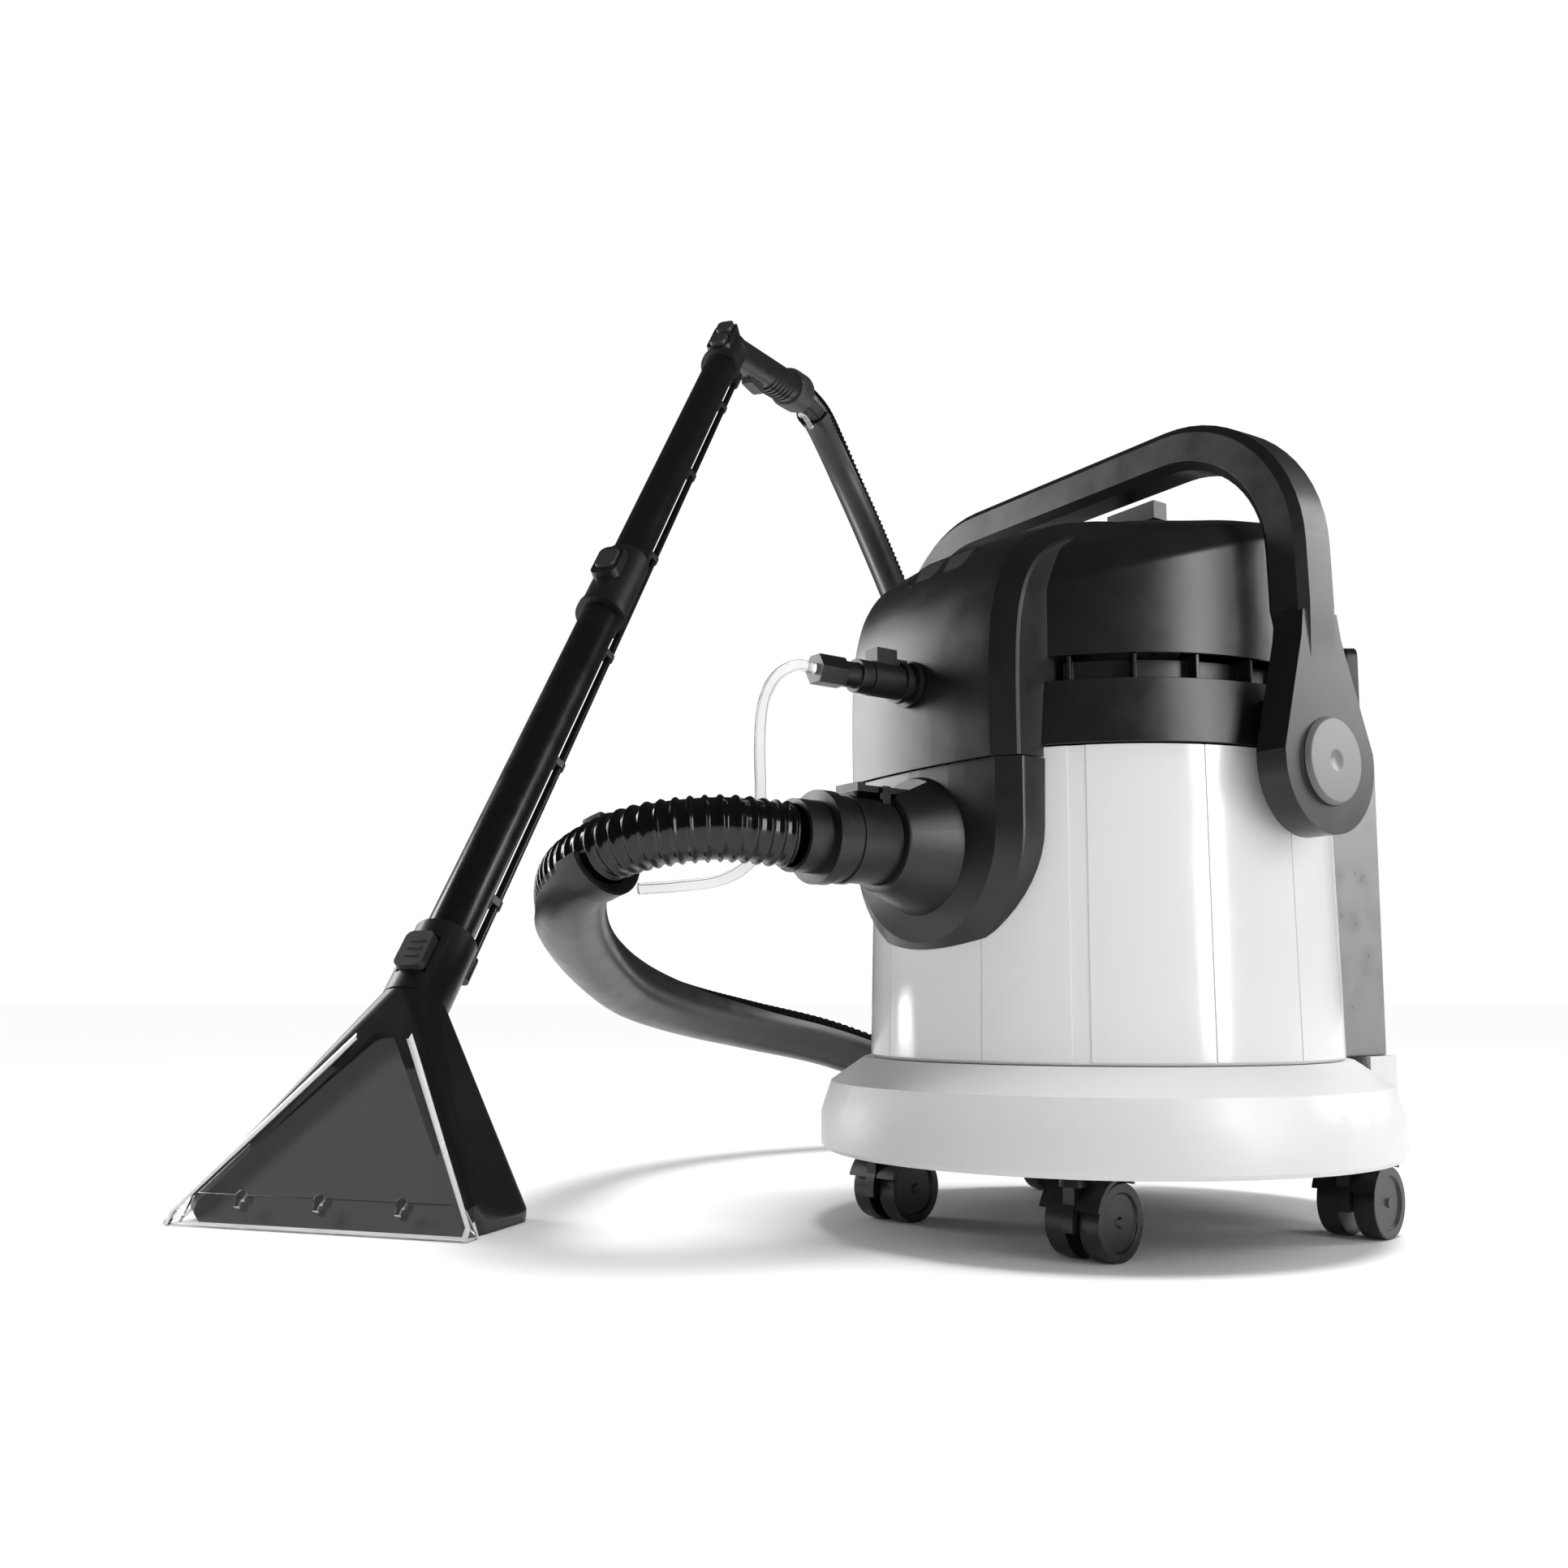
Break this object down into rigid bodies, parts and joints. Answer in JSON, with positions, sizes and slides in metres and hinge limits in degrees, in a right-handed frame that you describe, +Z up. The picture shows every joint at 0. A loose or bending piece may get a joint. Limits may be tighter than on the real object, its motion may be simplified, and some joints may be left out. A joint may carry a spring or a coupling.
{
  "type": "canister vacuum cleaner",
  "caption": "Spray-extraction canister vacuum cleaner: wheeled round canister with lift-off motor head, carrying handle, hose and leaning floor wand with wide nozzle.",
  "frame": {"origin": "on the floor, under the middle of the box round canister and wand (the hose is left out)", "axes": "+Z up; -Y is the canister's front, where the suction inlet points; X runs along the carrying handle's pivot axis"},
  "size_m": [1.245, 1.3206, 1.0785],
  "materials": {
    "base_white": "satin white moulded plastic",
    "container_white": "glossy white plastic",
    "black_matte": "fine-grained matte black plastic",
    "black_gloss": "glossy black plastic",
    "button_grey": "matte mid grey plastic",
    "cap_grey": "satin grey plastic",
    "grip_grey": "matte dark grey plastic",
    "hose_black": "glossy flexible PVC",
    "hose_cover_black": "satin flexible PVC",
    "clear_tube": "clear flexible tube",
    "clear_window": "clear moulded plastic",
    "tank_grey": "translucent grey plastic",
    "inner_grey": "dark grey plastic",
    "seal_rubber": "soft rubber",
    "steel": "bright steel",
    "motor_metal": "cast and pressed metal",
    "foam": "open-cell foam",
    "float_white": "white plastic",
    "wheel_black": "matte black plastic",
    "jet_metal": "small bright jets"
  },
  "bodies": {
    "canister": {"base_chassis": "base_white", "base_underplate": "inner_grey", "base_screws": "steel", "container": "container_white", "inlet_housing": "black_matte", "inlet_deflector": "inner_grey", "hose_cuff": "black_matte", "suction_hose": "hose_black", "hose_cover": "hose_cover_black", "spray_tube": "clear_tube", "spray_tube_end": "clear_tube", "nozzle_body": "black_matte", "nozzle_window": "clear_window", "nozzle_jets": "jet_metal", "lower_tube": "black_gloss", "tube_coupling": "black_matte", "upper_tube": "black_gloss", "spray_line": "black_gloss", "spray_line_clips": "black_matte", "wand_handle": "black_matte", "grip_collar": "grip_grey"},
    "cuff_latch": {"cuff_latch": "black_matte"},
    "nozzle_button": {"nozzle_button": "button_grey"},
    "coupling_button": {"coupling_button": "button_grey"},
    "handle_button_lower": {"handle_button_lower": "button_grey"},
    "handle_button_upper": {"handle_button_upper": "button_grey"},
    "trigger": {"trigger": "grip_grey"},
    "head": {"head_ring": "black_matte", "head_cover": "black_matte", "head_front": "black_matte", "head_seal": "seal_rubber", "pivot_pods": "black_matte", "pivot_caps": "cap_grey", "motor": "motor_metal", "water_pump": "inner_grey", "foam_filter": "foam", "float_cage": "inner_grey", "switch_bezel": "black_matte", "spray_socket": "black_matte", "spray_plug": "black_matte", "cord_hooks": "black_matte", "top_knob": "black_matte"},
    "carry_handle": {"carry_handle": "black_matte"},
    "motor_fan": {"motor_fan": "inner_grey"},
    "float_ball": {"float_ball": "float_white"},
    "switch_suction": {"switch_suction": "grip_grey"},
    "switch_spray": {"switch_spray": "grip_grey"},
    "fresh_tank": {"fresh_tank": "tank_grey", "tank_spout": "inner_grey"},
    "tank_cap": {"tank_cap": "grip_grey"},
    "caster_fork_1": {"caster_fork_1": "wheel_black"},
    "caster_wheels_1": {"caster_wheels_1": "wheel_black"},
    "caster_fork_2": {"caster_fork_2": "wheel_black"},
    "caster_wheels_2": {"caster_wheels_2": "wheel_black"},
    "caster_fork_3": {"caster_fork_3": "wheel_black"},
    "caster_wheels_3": {"caster_wheels_3": "wheel_black"},
    "caster_fork_4": {"caster_fork_4": "wheel_black"},
    "caster_wheels_4": {"caster_wheels_4": "wheel_black"}
  },
  "joints": [
    {"name": "caster_1_swivel", "type": "hinge", "parent": "canister", "child": "caster_fork_1", "pos_m": [0.47111, -0.0759, 0.05], "axis": [0, 0, 1], "continuous": true},
    {"name": "caster_1_roll", "type": "hinge", "parent": "caster_fork_1", "child": "caster_wheels_1", "pos_m": [0.46832, -0.05609, 0.023], "axis": [0.9903, 0.1392, 0], "continuous": true},
    {"name": "caster_2_swivel", "type": "hinge", "parent": "canister", "child": "caster_fork_2", "pos_m": [0.28889, -0.0759, 0.05], "axis": [0, 0, 1], "continuous": true},
    {"name": "caster_2_roll", "type": "hinge", "parent": "caster_fork_2", "child": "caster_wheels_2", "pos_m": [0.28611, -0.05609, 0.023], "axis": [0.9903, 0.1392, 0], "continuous": true},
    {"name": "caster_3_swivel", "type": "hinge", "parent": "canister", "child": "caster_fork_3", "pos_m": [0.51423, 0.127, 0.05], "axis": [0, 0, 1], "continuous": true},
    {"name": "caster_3_roll", "type": "hinge", "parent": "caster_fork_3", "child": "caster_wheels_3", "pos_m": [0.51145, 0.14681, 0.023], "axis": [0.9903, 0.1392, 0], "continuous": true},
    {"name": "caster_4_swivel", "type": "hinge", "parent": "canister", "child": "caster_fork_4", "pos_m": [0.24577, 0.127, 0.05], "axis": [0, 0, 1], "continuous": true},
    {"name": "caster_4_roll", "type": "hinge", "parent": "caster_fork_4", "child": "caster_wheels_4", "pos_m": [0.24298, 0.14681, 0.023], "axis": [0.9903, 0.1392, 0], "continuous": true},
    {"name": "head_lift", "type": "slide", "parent": "canister", "child": "head", "axis": [0, 0, 1], "range_m": [0, 0.125]},
    {"name": "handle_swing", "type": "hinge", "parent": "head", "child": "carry_handle", "pos_m": [0.38, 0.0495, 0.293], "axis": [1, 0, 0], "range_deg": [0, 55]},
    {"name": "fan_spin", "type": "hinge", "parent": "head", "child": "motor_fan", "pos_m": [0.38, 0.0595, 0.35], "axis": [0, 0, 1], "continuous": true},
    {"name": "float_rise", "type": "slide", "parent": "head", "child": "float_ball", "axis": [0, 0, 1], "range_m": [0, 0.022]},
    {"name": "tank_pull", "type": "slide", "parent": "canister", "child": "fresh_tank", "axis": [0, 1, 0], "range_m": [0, 0.12]},
    {"name": "tank_cap_pull", "type": "slide", "parent": "fresh_tank", "child": "tank_cap", "axis": [0, 0, 1], "range_m": [0, 0.03]},
    {"name": "trigger_squeeze", "type": "hinge", "parent": "canister", "child": "trigger", "pos_m": [-0.41356, 0.27997, 0.96834], "axis": [0.7939, 0.6081, 0], "range_deg": [0, 7], "stiffness_Nm_per_rad": 0.4},
    {"name": "cuff_latch_press", "type": "hinge", "parent": "canister", "child": "cuff_latch", "pos_m": [0.38, -0.1505, 0.279], "axis": [1, 0, 0], "range_deg": [0, 4], "stiffness_Nm_per_rad": 0.3},
    {"name": "nozzle_button_press", "type": "slide", "parent": "canister", "child": "nozzle_button", "axis": [-0.4699, 0.6135, -0.6347], "range_m": [0, 0.002], "stiffness_N_per_m": 800},
    {"name": "coupling_button_press", "type": "slide", "parent": "canister", "child": "coupling_button", "axis": [-0.4699, 0.6135, -0.6347], "range_m": [0, 0.002], "stiffness_N_per_m": 800},
    {"name": "handle_button_lower_press", "type": "slide", "parent": "canister", "child": "handle_button_lower", "axis": [-0.4699, 0.6135, -0.6347], "range_m": [0, 0.002], "stiffness_N_per_m": 800},
    {"name": "handle_button_upper_press", "type": "slide", "parent": "canister", "child": "handle_button_upper", "axis": [-0.4699, 0.6135, -0.6347], "range_m": [0, 0.002], "stiffness_N_per_m": 800},
    {"name": "switch_suction_rock", "type": "hinge", "parent": "head", "child": "switch_suction", "pos_m": [0.366, -0.08804, 0.43164], "axis": [-1, 0, 0], "range_deg": [0, 12]},
    {"name": "switch_spray_rock", "type": "hinge", "parent": "head", "child": "switch_spray", "pos_m": [0.394, -0.08804, 0.43164], "axis": [-1, 0, 0], "range_deg": [0, 12]}
  ]
}
